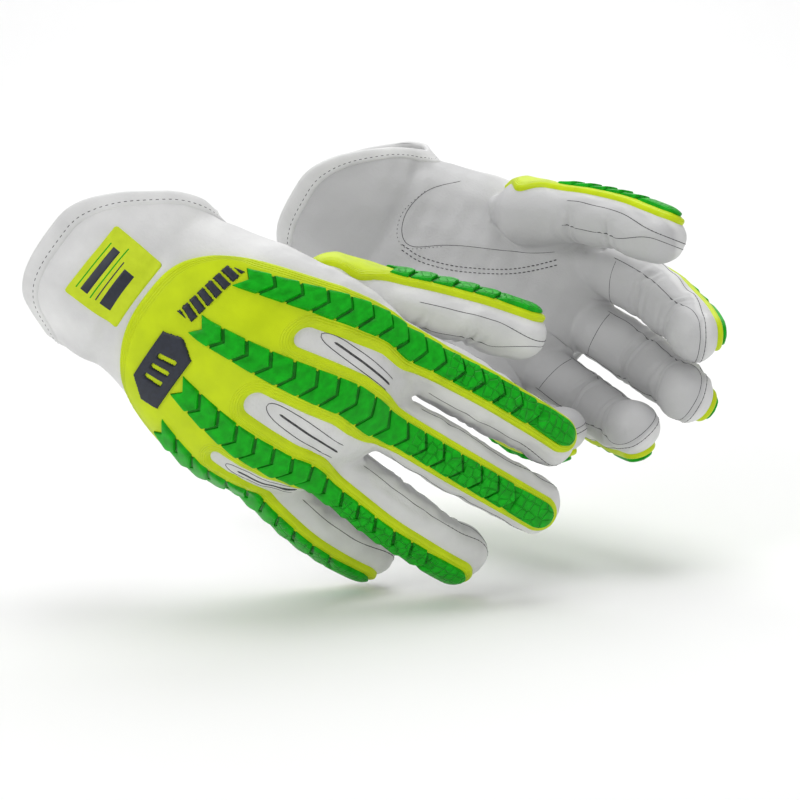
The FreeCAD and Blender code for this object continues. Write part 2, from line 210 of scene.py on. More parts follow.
class Glove:
    """Maps points of the flat glove to the worn, placed one."""

    def __init__(self, name, origin):
        self.name = name
        self.pose = GLOVES[name]
        self.origin = origin
        self.flex = Bend((FLEX_CENTRE,), (self.pose["flex"],), (FLEX_HALF,))
        self.curls = {f: Bend(KNUCKLES[f], self.pose[f][1], KNUCKLE_HALF) for f in DIGITS}
        self.turn = (turned("z", self.pose["yaw"]) @ turned("y", self.pose["tilt"])
                     @ turned("x", self.pose["roll"]))
        self.frames = {f: self.folded(*self.worn_frame(f)) for f in DIGITS}

    def cup(self, p):
        k = ARCH * ease((p[..., 0] + 30) / 110) + 1e-9
        a = k * (p[..., 1] - ARCH_CENTRE)
        return np.stack([p[..., 0], ARCH_CENTRE + np.sin(a) / k + p[..., 2] * np.sin(a),
                         (np.cos(a) - 1) / k + p[..., 2] * np.cos(a)], -1)

    def fold(self, p):
        x, z = self.flex.at(p[..., 0], p[..., 2])
        return np.stack([x, p[..., 1], z], -1)

    def place(self, p):
        q = np.stack([p[..., 0], -p[..., 2] * self.pose["side"], p[..., 1]], -1)
        return q @ self.turn.T + np.array(self.pose["place"]) - self.origin

    def hand(self, p):
        return self.place(self.fold(self.cup(p)))

    def worn_frame(self, name):
        if name == "thumb":
            x, y, z = THUMB[:3]
            root, a, c = self.cup(np.array([[x, y, z], [x + 1, y, z], [x, y, z + 1]], float))
            ex = unit(a - root)
            ez = unit(c - root - ex * ((c - root) @ ex))
            return (root, *thumb_axes(ex, np.cross(ez, ex), ez, self.pose["thumb"][0],
                                      self.pose["abduct"]))
        x, y = FINGERS[name][:2]
        lean = ARCH * float(ease((x + 30) / 110)) * (y - ARCH_CENTRE)
        splay = math.radians(self.pose[name][0])
        up = np.array([0, math.sin(lean), math.cos(lean)])
        side = np.array([0, math.cos(lean), -math.sin(lean)])
        ahead = np.array([math.cos(splay), 0, 0]) + side * math.sin(splay)
        return self.cup(np.array([x, y, 0.0])), ahead, np.cross(up, ahead), up

    def folded(self, root, *axes):
        start = self.fold(root)
        return [start] + [unit(self.fold(root + a * 0.01) - start) for a in axes]

    def digit(self, name, s, t, z):
        x, h = self.curls[name].at(s, z)
        root, ahead, side, up = self.frames[name]
        return self.place(root + x[..., None] * ahead + t[..., None] * side + h[..., None] * up)

    def worn(self, p, at=None):
        """Flat points p carried to the worn glove, skinned to hand and fingers as the points at are."""
        at = p if at is None else at
        rows = np.arange(len(p))
        across = np.abs([in_digit(f, at)[1] for f in FINGERS])
        first, second = np.argsort(across, axis=0)[:2]
        lead = ease(0.5 + (across[second, rows] - across[first, rows]) / 3.0)
        moved = np.array([self.digit(f, *in_digit(f, p)) for f in FINGERS])
        reach = np.array([in_digit(f, at)[0] for f in FINGERS])
        finger = mixed(moved[second, rows], moved[first, rows], lead)
        s = mixed(reach[second, rows], reach[first, rows], lead)
        out = mixed(self.hand(p), finger, ease((s - 2) / 20))
        return mixed(out, self.digit("thumb", *in_digit("thumb", p)), thumb_share(at))


def thumb_share(p):
    """How far flat points belong to the thumb."""
    s, t, z = in_digit("thumb", p)
    limit = 14.8 + np.clip(s - 42, 0, 16) * 0.45
    spread = np.maximum(3.0, 14 * (1 - s / 42))
    return ease((s + 4) / 26) * (1 - ease((np.hypot(t, z) - limit) / spread))


ORIGIN = Glove("right", np.zeros(3)).hand(np.array([-CUFF_LENGTH, 0, 0.0]))


# ---------------------------------------------------------------- the flat leather

def hand_section(x):
    return along(x, HAND_X, HAND_W), along(x, HAND_X, HAND_H)


def root_shift(y):
    """The finger roots lie on a curve: how far it is off the index finger's root."""
    roots = sorted((f[1], f[0] - 90) for f in FINGERS.values())
    return along(y, [-57] + [r[0] for r in roots] + [57],
                 [roots[0][1] - 3] + [r[1] for r in roots] + [roots[-1][1] - 3])


def hand_rings():
    """Closed rings of the hand, thinned and rounded off between the fingers."""
    turn = np.radians(np.arange(0, 360, 5))
    rings = []
    for x, w, h in [(x, *map(float, hand_section(x))) for x in range(-66, 86, 4)] + [
            (90, 56.5, 18.0), (95, 56, 15.5), (100, 55, 12.5), (104, 53.5, 9), (107, 51, 5),
            (108.5, 48, 2)]:
        y = power(np.cos(turn), 2 / SQUARENESS) * w
        z = power(np.sin(turn), 2 / SQUARENESS) * h
        rings.append(np.stack([x + root_shift(y) * ease((x - 45) / 45), y, z], -1))
    return rings


def digit_section(name, s):
    """Half width and half height of a finger at s."""
    length, w, h = size_of(name)
    size = 1 - FINGER_TAPER * s / length
    cap = np.clip((s - (length - w)) / w, 0, 1)
    size = size * power(np.maximum(1 - power(cap, 2.5), 1e-4), 0.42)
    swell = 5.0 * (1 - ease((s + 8) / 46)) if name == "thumb" else 0.5 * np.exp(-((s - 46) / 14) ** 2)
    return (w + PLUMP) * size + swell, h * size + swell


def digit_rings(name):
    length, w, _ = size_of(name)
    turn = np.radians(np.arange(0, 360, 12))
    root, ahead, side, up = FLAT[name]
    cap = length - w + w * np.sin(np.radians([12, 24, 36, 48, 58, 67, 75, 82, 87]))
    rings = []
    for s in [*np.arange(-14, length - w, 4.0), *cap]:
        root_taper = 0.4 + 0.6 * float(ease((s + 16) / 24)) if name == "thumb" else 1
        a, b = (size * root_taper for size in digit_section(name, s))
        t = power(np.cos(turn), 2 / 2.15) * a
        z = power(np.sin(turn), 2 / 2.15) * b
        rings.append(root + s * ahead + t[:, None] * side + z[:, None] * up)
    return rings


def closed(rings):
    """Vertices and faces of a tube through rings, with flat ends."""
    n, m = len(rings), len(rings[0])
    faces = [(i * m + j, i * m + (j + 1) % m, (i + 1) * m + (j + 1) % m, (i + 1) * m + j)
             for i in range(n - 1) for j in range(m)]
    faces += [tuple(range(m - 1, -1, -1)), tuple((n - 1) * m + j for j in range(m))]
    return np.concatenate(rings), faces


def voxel_union(bodies):
    verts, faces = [], []
    for v, f in bodies:
        k = sum(len(a) for a in verts)
        verts.append(v)
        faces += [tuple(i + k for i in face) for face in f]
    mesh = bpy.data.meshes.new("union")
    mesh.from_pydata(np.concatenate(verts).tolist(), [], faces)
    obj = bpy.data.objects.new("union", mesh)
    bpy.context.scene.collection.objects.link(obj)
    mod = obj.modifiers.new("union", "REMESH")
    mod.mode = "VOXEL"
    mod.voxel_size = VOXEL
    made = obj.evaluated_get(bpy.context.evaluated_depsgraph_get()).to_mesh()
    v = np.empty(len(made.vertices) * 3)
    made.vertices.foreach_get("co", v)
    f = np.array([p.vertices[:] for p in made.polygons])
    bpy.data.objects.remove(obj, do_unlink=True)
    return v.reshape(-1, 3), f


def relaxed(v, f, rounds):
    """Taubin smoothing on quads."""
    edges = np.unique(np.sort(np.concatenate([f[:, [k, (k + 1) % 4]] for k in range(4)]), axis=1),
                      axis=0)
    count = np.bincount(edges.ravel(), minlength=len(v))[:, None]
    for i in range(rounds * 2):
        total = np.zeros_like(v)
        for k in range(3):
            total[:, k] = (np.bincount(edges[:, 0], v[edges[:, 1], k], len(v))
                           + np.bincount(edges[:, 1], v[edges[:, 0], k], len(v)))
        v = v + (total / count - v) * (0.6 if i % 2 == 0 else -0.5)
    return v


def normals_of(v, f):
    a = np.cross(v[f[:, 2]] - v[f[:, 0]], v[f[:, 3]] - v[f[:, 1]])
    n = np.zeros_like(v)
    for k in range(4):
        for c in range(3):
            n[:, c] += np.bincount(f[:, k], a[:, c], len(v))
    return unit(n)


def turn_of(p):
    """The turn round the hand's section of flat points, in degrees."""
    w, h = hand_section(p[:, 0])
    return np.degrees(np.arctan2(power(p[:, 2] / h, SQUARENESS / 2), power(p[:, 1] / w, SQUARENESS / 2)))


def cuff_x(turn):
    """The rounded edge of the cuff."""
    c = np.cos(np.radians(turn))
    return (-CUFF_LENGTH + CUFF_THUMB_CUT * np.maximum(c, 0) ** 1.5
            + CUFF_LITTLE_CUT * np.maximum(-c, 0) ** 3)


FLAT_V, FLAT_F = voxel_union([closed(hand_rings())] + [closed(digit_rings(n)) for n in DIGITS])
FLAT_V = relaxed(FLAT_V, FLAT_F, FLUFF)


# ---------------------------------------------------------------- where things lie on the leather

TURNS = np.arange(0, 361, 1.0)


def reference_arc():
    """Arc length round a mid section, nought at the middle of the back, growing to the thumb."""
    y = power(np.cos(np.radians(TURNS)), 2 / SQUARENESS) * 54
    z = power(np.sin(np.radians(TURNS)), 2 / SQUARENESS) * 24
    arc = np.concatenate([[0], np.cumsum(np.hypot(np.diff(y), np.diff(z)))])
    return arc[90] - arc


ARC = reference_arc()


def arc_of(turn):
    return np.interp(turn, TURNS, ARC)


def turn_at(v):
    return np.interp(-v, -ARC, TURNS)


def ray_v(name, x):
    """Where a guard's ray is round the hand at x."""
    low, high = RAYS[name]
    part = low + (high - low) * np.clip((x - RAY_X[0]) / (RAY_X[1] - RAY_X[0]), 0, 1)
    return arc_of(np.degrees(np.arccos(power(part, SQUARENESS / 2))))


def on_hand(x, turn):
    """Points and outward directions on the hand's plain section."""
    w, h = hand_section(x)
    c, s = np.cos(np.radians(turn)), np.sin(np.radians(turn))
    y, z = power(c, 2 / SQUARENESS) * w, power(s, 2 / SQUARENESS) * h
    n = np.stack([0 * x, power(y / w, SQUARENESS - 1) / w, power(z / h, SQUARENESS - 1) / h], -1)
    return np.stack([x, y, z], -1), unit(n)


def on_digit(name, s, a):
    """Points and outward directions on a finger: s mm along its back and over its tip, a across."""
    length, w, _ = size_of(name)
    root, ahead, side, up = FLAT[name]
    base = np.minimum(s, length - w)
    dip = np.maximum(s - base, 0) / w
    wide, high = np.vectorize(lambda q: digit_section(name, q))(base)
    round_ = a / wide
    t, z = wide * np.sin(round_), high * np.cos(round_) * np.cos(dip)
    ahead_by = base + w * np.cos(round_) * np.sin(dip)
    n = [np.cos(round_) * np.sin(dip), np.sin(round_) * high / w, np.cos(round_) * np.cos(dip)]
    point = root + ahead_by[..., None] * ahead + t[..., None] * side + z[..., None] * up
    return point, unit(n[0][..., None] * ahead + n[1][..., None] * side + n[2][..., None] * up)


def on_ray(name, s, a):
    """The same along a guard ray, which runs from the wrist over the hand to a finger's tip."""
    off = STRIP_OFF[name] * ease((s + 10) / 30)
    point, n = on_digit(name, np.maximum(s, -12), a + off)
    if name == "thumb":
        return point, n
    x = FINGERS[name][0] + s
    flat_point, flat_n = on_hand(x, turn_at(ray_v(name, x) + a))
    share = ease((s + 10) / 25)[..., None]
    return flat_point * (1 - share) + point * share, unit(flat_n * (1 - share) + n * share)


# ---------------------------------------------------------------- creases in the leather

def ripple(p, wave, seed):
    """Soft seeded noise from -1 to 1, with features about wave mm wide."""
    rng = np.random.default_rng(seed)
    total = np.zeros(len(p))
    for _ in range(9):
        k = unit(rng.normal(size=3)) * (2 * math.pi / wave) * rng.uniform(0.6, 1.4)
        total += np.sin(p @ k + rng.uniform(0, 6.28))
    return total / 3.2


def guarded(p):
    """1 under the guards, 0 on bare leather."""
    turn = turn_of(p) % 360
    hand = ease((turn - 26) / 8) * ease((176 - turn) / 8) * ease((p[:, 0] + 10) / 8) * ease(
        (58 - p[:, 0]) / 10)
    cover = hand
    for name in DIGITS:
        s, t, z = in_digit(name, p)
        near = ease((11.5 - np.abs(t)) / 2.5) * ease((z - 3) / 4) * ease((s + 40) / 10)
        if name == "thumb":
            near = near * ease((s - 4) / 6) * thumb_share(p)
        cover = np.maximum(cover, near * (np.hypot(t, z) < 20))
    return cover


def creased(p, n):
    """The flat leather with its folds."""
    depth = 0.45 * ripple(p, 30, 3) + 0.22 * ripple(p * [1, 0.6, 1], 11, 5)
    bare = 1 - guarded(p)
    for name in DIGITS:
        s, t, z = in_digit(name, p)
        _, w, h = size_of(name)
        mine = (np.abs(t) < w + 3) & (np.abs(z) < h + 4) & (s > 20)
        palm = ease((4 - z) / 10)
        wave = 1.6 * ripple(p, 17, 7)
        for joint in KNUCKLES[name][1:]:
            for off, deep in ((0, 1.0), (-5.5, 0.45), (5.0, 0.5)):
                depth = depth - mine * palm * deep * 1.5 * np.exp(-((s - joint - off + wave) / 1.7) ** 2)
            depth = depth + mine * palm * 0.5 * np.exp(-((s - joint - 11) / 7) ** 2)
        depth = depth + mine * (1 - palm) * 0.35 * np.sin(s / 3.6 + 2 * ripple(p, 21, 9)) * bare
    turn = np.radians(turn_of(p))
    cuff = ease((-2 - p[:, 0]) / 26)
    depth = depth + cuff * (1.3 * np.sin(3 * turn + 0.8) + 0.8 * np.sin(5 * turn + p[:, 0] / 14))
    wrist = np.exp(-((p[:, 0] + 6 + 3 * ripple(p, 40, 2)) / 5) ** 2)
    depth = depth - wrist * (0.7 + 0.5 * np.sin(9 * turn + 1.5))
    return p + n * (depth * (0.15 + 0.85 * bare))[:, None]


FLAT_V = creased(FLAT_V, normals_of(FLAT_V, FLAT_F))
FLAT_N = normals_of(FLAT_V, FLAT_F)
FLAT_TREE = BVHTree.FromPolygons(FLAT_V.tolist(), FLAT_F.tolist())


def laid(point, n, reach=9.0):
    """Points moved along n until they meet the leather."""
    shape = point.shape
    point, n = point.reshape(-1, 3), n.reshape(-1, 3)
    out = point.copy()
    start = point + n * reach
    for i in range(len(out)):
        hit = FLAT_TREE.ray_cast(Vector(start[i]), Vector(-n[i]), 2 * reach)[0]
        if hit is not None:
            out[i] = hit
    return out.reshape(shape)


# ---------------------------------------------------------------- pieces and their meshes

class Kit:
    """Makes the named pieces of one glove."""

    def __init__(self, glove):
        self.glove = glove
        self.hand = glove.name + "_hand"

    def piece(self, name, points, faces, slot, material, replaces=(), at=None, digit=None,
              normals=None, crisp=False, **attributes):
        """One mesh from flat points, attached to the hand. With digit, its transform is only baked in and
        it is attached to nothing.
        """
        verts = self.glove.worn(points, at) * MM
        if self.glove.pose["side"] < 0:
            faces = [f[::-1] for f in faces]
        mesh = bpy.data.meshes.new(name)
        mesh.from_pydata(verts.tolist(), [], [tuple(map(int, f)) for f in faces])
        mesh.polygons.foreach_set("use_smooth", [True] * len(mesh.polygons))
        for key, value in attributes.items():
            kind = "FLOAT_VECTOR" if value.ndim == 2 else "FLOAT"
            layer = mesh.attributes.new(key, kind, "POINT")
            layer.data.foreach_set("vector" if value.ndim == 2 else "value",
                                   value.astype(np.float32).ravel())
        if crisp:
            mesh.set_sharp_from_angle(angle=math.radians(28))
        if normals is not None:
            mesh.normals_split_custom_set_from_vertices(normals.tolist())
        obj = bpy.data.objects.new(self.glove.name + "_" + name, mesh)
        bpy.context.scene.collection.objects.link(obj)
        mesh.materials.append(material)
        if digit is None:
            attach(obj, self.hand)
        else:
            self.bend(obj, digit)
        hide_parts(*[self.glove.name + "_" + node for node in replaces])
        return obj

    def bend(self, obj, digit):
        ends = np.array([CROTCH[digit] + 1.5, BEND_END[digit]])
        start, end = self.glove.digit(digit, ends, 0 * ends, 0 * ends) * MM
        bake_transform(obj)
        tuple(start)
        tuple(end)


def quads(rows, cols):
    index = np.arange(rows * cols).reshape(rows, cols)
    return np.stack([index[:-1, :-1], index[1:, :-1], index[1:, 1:], index[:-1, 1:]], -1)


def looped(index):
    """The faces of a tube whose rings are the rows of index."""
    loop = np.concatenate([index, index[:, :1]], 1)
    return np.stack([loop[:-1, :-1], loop[1:, :-1], loop[1:, 1:], loop[:-1, 1:]], -1).reshape(-1, 4)


def rim_edges(faces):
    """The directed edges that only one face has."""
    edges = np.concatenate([faces[:, [k, (k + 1) % 4]] for k in range(4)])
    key = edges[:, 0].astype(np.int64) * (faces.max() + 1) + edges[:, 1]
    back = edges[:, 1].astype(np.int64) * (faces.max() + 1) + edges[:, 0]
    return edges[~np.isin(key, back)]


def closed_sheet(top, base, faces):
    """Points and faces of a closed sheet between matching top and base points."""
    used, where = np.unique(faces, return_inverse=True)
    faces = where.reshape(faces.shape)
    n = len(used)
    edge = rim_edges(faces)
    walls = np.stack([edge[:, 1], edge[:, 0], edge[:, 0] + n, edge[:, 1] + n], -1)
    points = np.concatenate([top.reshape(-1, 3)[used], base.reshape(-1, 3)[used]])
    return points, np.concatenate([faces, faces[:, ::-1] + n, walls]), used


def facing_out(points, faces, out):
    """The faces, turned if the first ones look against the directions out."""
    a, b, c, d = (points[faces[:200, k]] for k in range(4))
    look = np.cross(c - a, d - b)
    return faces if np.sum(look * out[faces[:200, 0] % len(out)]) > 0 else faces[:, ::-1]


def lifted_sheet(base, n, height, depth, keep):
    """A closed sheet on the leather: height over it on top, depth for its underside."""
    faces = quads(*height.shape)[keep]
    points, faces, used = closed_sheet(base + n * height[..., None], base + n * depth, faces)
    at = np.concatenate([base.reshape(-1, 3)[used]] * 2)
    return points, facing_out(points, faces, n.reshape(-1, 3)[used]), at, used


def plate_edge(d, height, radius):
    """Height of a plate with a rounded edge, d mm inside its outline."""
    u = np.clip(d / radius, 0, 1)
    return height * (1 - (1 - u) ** 2.2) + np.minimum(d, 0) * 1.6


def snapped(inside, u, v, cell):
    """Grid points near an outline pulled onto it, so that it runs clean."""
    d, e = inside(u, v), 0.05
    du = (inside(u + e, v) - d) / e
    dv = (inside(u, v + e) - d) / e
    pull = np.where(np.abs(d) < 0.5 * cell, d / np.maximum(du * du + dv * dv, 0.25), 0)
    return u - pull * du, v - pull * dv


# ---------------------------------------------------------------- leather

def region_of(p):
    """0 for the hand and 1.. for a finger, for each flat point."""
    out = np.zeros(len(p), int)
    across = np.abs([in_digit(f, p)[1] for f in FINGERS])
    reach = np.array([in_digit(f, p)[0] for f in FINGERS])
    nearest = across.argmin(0)
    beyond = reach[nearest, np.arange(len(p))] > CROTCH["index"]
    out[beyond] = nearest[beyond] + 1
    thumb = thumb_share(p) > 0.5
    out[thumb] = 0
    out[thumb & (in_digit("thumb", p)[0] > CROTCH["thumb"])] = 5
    return out


def cuff_cut():
    """The flat leather with its cuff edge cut to shape."""
    edge = cuff_x(turn_of(FLAT_V))
    inside = FLAT_V[:, 0] > edge - 0.5 * VOXEL
    faces = FLAT_F[inside[FLAT_F].all(1)]
    rim = np.unique(rim_edges(faces))
    points = FLAT_V.copy()
    points[rim, 0] = edge[rim]
    return points, faces


def leather(kit, material):
    points, faces = cuff_cut()
    region = region_of(points[faces].mean(1))
    worn = kit.glove.worn(points)
    side = kit.glove.pose["side"]
    normals = normals_of(worn, faces if side > 0 else faces[:, ::-1])
    # palm: how far each point faces the palm side. The leather material darkens the palm side by it, as
    # painted shade.
    palm = ease(0.5 - FLAT_N[:, 2] / 0.5)
    for i, digit in enumerate([None, *DIGITS]):
        mine = faces[region == i]
        base = points - FLAT_N * 1.6
        shell, shell_faces, used = closed_sheet(points, base, mine)
        nodes = ([digit + "_leather"] if digit else
                 ["cuff_back", "cuff_palm", "back_leather", "palm_leather", "thumb_root_leather"])
        both = np.concatenate([normals[used], -normals[used]])
        kit.piece((digit or "hand") + "_hide", shell, shell_faces, "hide", material, nodes,
                  at=np.concatenate([points[used]] * 2), digit=digit, normals=both,
                  flat=np.concatenate([points[used]] * 2) * MM, palm=np.concatenate([palm[used]] * 2))


def hem(kit, material):
    """The turned and stitched edge of the cuff."""
    turn = np.arange(0, 361, 2.5)
    profile = [(6.5, -2.1), (1.0, -2.3), (-0.5, -1.7), (-1.0, -0.6), (-0.5, 0.5), (0.8, 0.95),
               (3.0, 0.8), (6.0, 0.75), (7.4, 0.5), (8.0, -0.1), (8.2, -0.9), (6.5, -1.1)]
    x = cuff_x(turn)[:, None] + np.array([p[0] for p in profile])
    turns = np.broadcast_to(turn[:, None], x.shape)
    flat, n = on_hand(np.maximum(x, cuff_x(turn)[:, None] + 0.4), turns)
    base = laid(flat, n)
    base[..., 0] = x
    points = base + n * np.array([p[1] for p in profile])[:, None]
    rows, cols = x.shape
    faces = looped(np.arange(rows * cols).reshape(rows, cols) % ((rows - 1) * cols))
    points = points[:-1].reshape(-1, 3)
    at = base[:-1].reshape(-1, 3)
    middle = at - n[:-1].reshape(-1, 3)
    a, b, c, d = (points[faces[:, k]] for k in range(4))
    look = np.cross(c - a, d - b)
    if np.sum(look * (points[faces].mean(1) - middle[faces].mean(1))) < 0:
        faces = faces[:, ::-1]
    kit.piece("hem", points, faces, "hide", material, ["cuff_hem"], at=at, flat=points * MM)


# ---------------------------------------------------------------- guards

def ray_inside(s, a, name):
    """How far a point of a finger's guard strip is inside its outline."""
    length = size_of(name)[0]
    half = RAY_HALF * (1 - 0.05 * np.clip(s / length, 0, 1))
    if name == "thumb":
        half = 8.6 + 7.0 * np.exp(-((s - 12) / 9.5) ** 2)
        return np.minimum(half - np.hypot(np.maximum(s - (length - 4 - 8.6), 0), a),
                          7.5 - np.hypot(np.maximum(7 - s - 7.5, 0), np.maximum(np.abs(a) - 8, 0)))
    return half - np.hypot(np.maximum(s - (length - 4 - half), 0), a)


def guard_x(turn):
    """The guard's wrist edge bows toward the cuff."""
    off = (turn - 93) / 52
    return -3 + 26 * np.maximum(-off, 0) ** 2.67 + 12 * np.maximum(off, 0) ** 2


def hand_inside(x, v):
    """How far a point of the hand's guard is inside its outline, its windows cut out."""
    wide = 2.5 * (1 - ease(x / 70))
    d = x - guard_x(turn_at(v))
    for side in (ray_v("index", x) + RAY_HALF + wide - v, v - ray_v("little", x) + RAY_HALF + wide):
        corner = 9 - np.hypot(np.maximum(9 - d, 0), np.maximum(9 - side, 0))
        d = np.minimum(np.minimum(d, side), corner)
    names = list(FINGERS)
    for near, far, start in zip(names, names[1:], WINDOW_START):
        middle = (ray_v(near, x) + ray_v(far, x)) / 2
        half = (ray_v(near, x) - ray_v(far, x)) / 2 - RAY_HALF
        d = np.minimum(d, np.hypot(np.minimum(x - start - half, 0), v - middle) - half)
    return d


def nearest_ray(x, v):
    return np.abs([v - ray_v(f, x) for f in FINGERS]).argmin(0)


def on_back(x, v):
    """Points and directions for the hand's guard, whose rays run on to the fingers."""
    point, n = np.zeros(x.shape + (3,)), np.zeros(x.shape + (3,))
    for i, name in enumerate(FINGERS):
        mine = nearest_ray(x, v) == i
        point[mine], n[mine] = on_ray(name, x[mine] - FINGERS[name][0],
                                      v[mine] - ray_v(name, x[mine]))
    return point, n


def grid(lows, highs, cell):
    axes = [np.linspace(a, b, int((b - a) / cell) + 1) for a, b in zip(lows, highs)]
    return np.meshgrid(*axes, indexing="ij")


def guard_sheet(inside, place, u, v, cell):
    u, v = snapped(inside, u, v, cell)
    d = inside(u, v)
    point, n = place(u, v)
    height = plate_edge(d, GUARD, 2.0)
    corner = quads(*d.shape)
    keep = (d.ravel()[corner] > -0.8).any(-1) & (d.ravel()[corner] > -1.4).all(-1)
    points, faces, at, used = lifted_sheet(laid(point, n), n, height, -0.9, keep)
    return points, faces, at, np.concatenate([d.ravel()[used]] * 2)


def hand_guard(kit, material):
    x, v = grid((-9, ray_v("little", 90) - 13), (115, ray_v("index", 90) + 13), 0.75)

    def inside(x, v):
        roots = np.array([FINGERS[f][0] for f in FINGERS])[nearest_ray(x, v)]
        return np.minimum(hand_inside(x, v), 1.5 + roots + CROTCH["index"] + 0.7 - x)
    points, faces, at, d = guard_sheet(inside, on_back, x, v, 0.75)
    kit.piece("hand_plate", points, faces, "guard", material, ["hand_guard"], at=at, edge=d,
              flat=points * MM)


def finger_strip(kit, name, material):
    length = size_of(name)[0]
    s, a = grid((CROTCH[name], -RAY_HALF - 1.5), (length - 2, RAY_HALF + 1.5), 0.6)
    points, faces, at, d = guard_sheet(lambda s, a: ray_inside(s, a, name),
                                       lambda s, a: on_ray(name, s, a), s, a, 0.6)
    kit.piece(name + "_plate", points, faces, "guard", material, [name + "_strip"], at=at,
              digit=name, edge=d, flat=points * MM)


def thumb_saddle(kit, material):
    s, a = grid((-6, -17), (CROTCH["thumb"] + 1, 17), 0.7)
    points, faces, at, d = guard_sheet(lambda s, a: ray_inside(s, a, "thumb"),
                                       lambda s, a: on_ray("thumb", s, a), s, a, 0.7)
    kit.piece("thumb_plate_base", points, faces, "guard", material, ["thumb_saddle"], at=at,
              edge=d, flat=points * MM)


# ---------------------------------------------------------------- ribs

RIB_ROWS = ((0.0, 0.45), (0.02, 0.95), (0.07, 1.15), (0.25, 1.35), (0.45, 1.6), (0.64, 1.85),
            (0.77, 2.05), (0.83, 2.0), (0.85, 1.7), (0.862, 0.95), (0.872, 0.45), (0.94, 0.4))
RIB_COLUMNS = ((1.06, -0.7, 0.0), (1.0, -0.1, 0.35), (0.96, 0, 0.72), (0.86, 0, 0.93), (0.68, 0, 1.0),
               (0.45, 0, 1.03), (0.22, 0, 1.08), (0, 0, 1.12))
PAD = 19.0


def rib_rows(start, stop):
    """Rows of a run of ribs and its tip pad: place, height, width and how far it is a pad."""
    count = max(round((stop - PAD - start) / PITCH), 1)
    pitch = (stop - PAD - start) / count
    rows = []
    for k in range(count):
        for f, h in RIB_ROWS:
            swell = 1.0 if f < 0.87 else 0.88
            rows.append((start + (k + f) * pitch, h, swell, 0.0))
    first = stop - PAD
    tip = PAD - 5 + 5 * np.sin(np.radians([0, 15, 30, 45, 58, 70, 80, 88]))
    for u in [*np.arange(0, PAD - 5, 0.9), *tip]:
        f = u / PAD
        width = math.sqrt(max(1 - max((u - PAD + 6.5) / 6.5, 0) ** 2, 0.003))
        h = 0.5 + 1.5 * min(u / 2.5, 1) if u < 2.5 else 2.0
        rows.append((first + u, h * (0.25 + 0.75 * width), width * (0.93 + 0.07 * min(f * 3, 1)), f))
    return np.array(rows), pitch


def rib_sheet(kit, name, rows, label, digit, material, nodes):
    side = np.array([(-c[0], c[1], c[2]) for c in RIB_COLUMNS] + [c for c in RIB_COLUMNS[-2::-1]])
    u, h, width, pad = (rows[:, k][:, None] for k in range(4))
    half = RIB_HALF * (0.86 + 0.14 * ease((u + 60) / 60))
    if name == "thumb":
        half = half * 0.95
    a = half * width * side[:, 0]
    s = u - SWEEP * np.abs(a) * (1 - ease(pad / 0.45))
    height = GUARD + h * side[:, 2] + side[:, 1]
    point, n = on_ray(name, s, a)
    keep = np.ones((len(rows) - 1, len(side) - 1), bool)
    points, faces, at, used = lifted_sheet(laid(point, n), n, height, GUARD - 1.0, keep)
    cell = np.stack([s, a, 0 * s], -1).reshape(-1, 3)[used]
    pebble = (np.broadcast_to(ease((s - 18) / 10), s.shape) * (np.abs(side[:, 0]) < 0.9)).ravel()[used]
    # gap marks the low rows between the ribs, where the rib material paints shade.
    gap = np.broadcast_to(np.where(h < 0.5, 1.0, 0.0), s.shape).ravel()[used]
    kit.piece(label, points, faces, "ribs", material, nodes, at=at, digit=digit, crisp=True,
              cell=np.concatenate([cell] * 2) * MM, pebble=np.concatenate([pebble] * 2),
              gap=np.concatenate([gap] * 2))


def ribs(kit, name, material):
    start = 31.0 if name == "thumb" else RIB_START[name] - FINGERS[name][0]
    rows, pitch = rib_rows(start, size_of(name)[0] - 7.8)
    split = math.ceil((CROTCH[name] + 3 - start) / pitch) * len(RIB_ROWS)
    rib_sheet(kit, name, rows[:split + 1], name + "_rib_row_hand", None, material,
              ["hand_ribs"] if name == "index" else [])
    rib_sheet(kit, name, rows[split:], name + "_rib_row", name, material, [name + "_ribs"])


# ---------------------------------------------------------------- label, emblem and accent bar

def box_inside(u, v, low, high, radius):
    """How far inside a rounded rectangle."""
    qu = np.abs(u - (low[0] + high[0]) / 2) - (high[0] - low[0]) / 2 + radius
    qv = np.abs(v - (low[1] + high[1]) / 2) - (high[1] - low[1]) / 2 + radius
    return radius - np.hypot(np.maximum(qu, 0), np.maximum(qv, 0)) - np.minimum(np.maximum(qu, qv), 0)


def hand_patch(kit, label, inside, low, high, base, top, slot, material, nodes=(), cell=0.5):
    """A thin raised piece on the hand, from the lift base to the lift top."""
    x, v = grid(low, high, cell)
    x, v = snapped(inside, x, v, cell)
    d = inside(x, v)
    point, n = on_hand(x, turn_at(v))
    corner = quads(*d.shape)
    keep = (d.ravel()[corner] > -0.3).all(-1)
    height = np.where(d < 0.05, top - 0.6 * (top - base), top - 0.35 * (top - base) *
                      (1 - np.clip(d / 0.5, 0, 1)) ** 2)
    points, faces, at, _ = lifted_sheet(laid(point, n), n, height, base, keep)
    kit.piece(label, points, faces, slot, material, nodes, at=at, flat=points * MM)


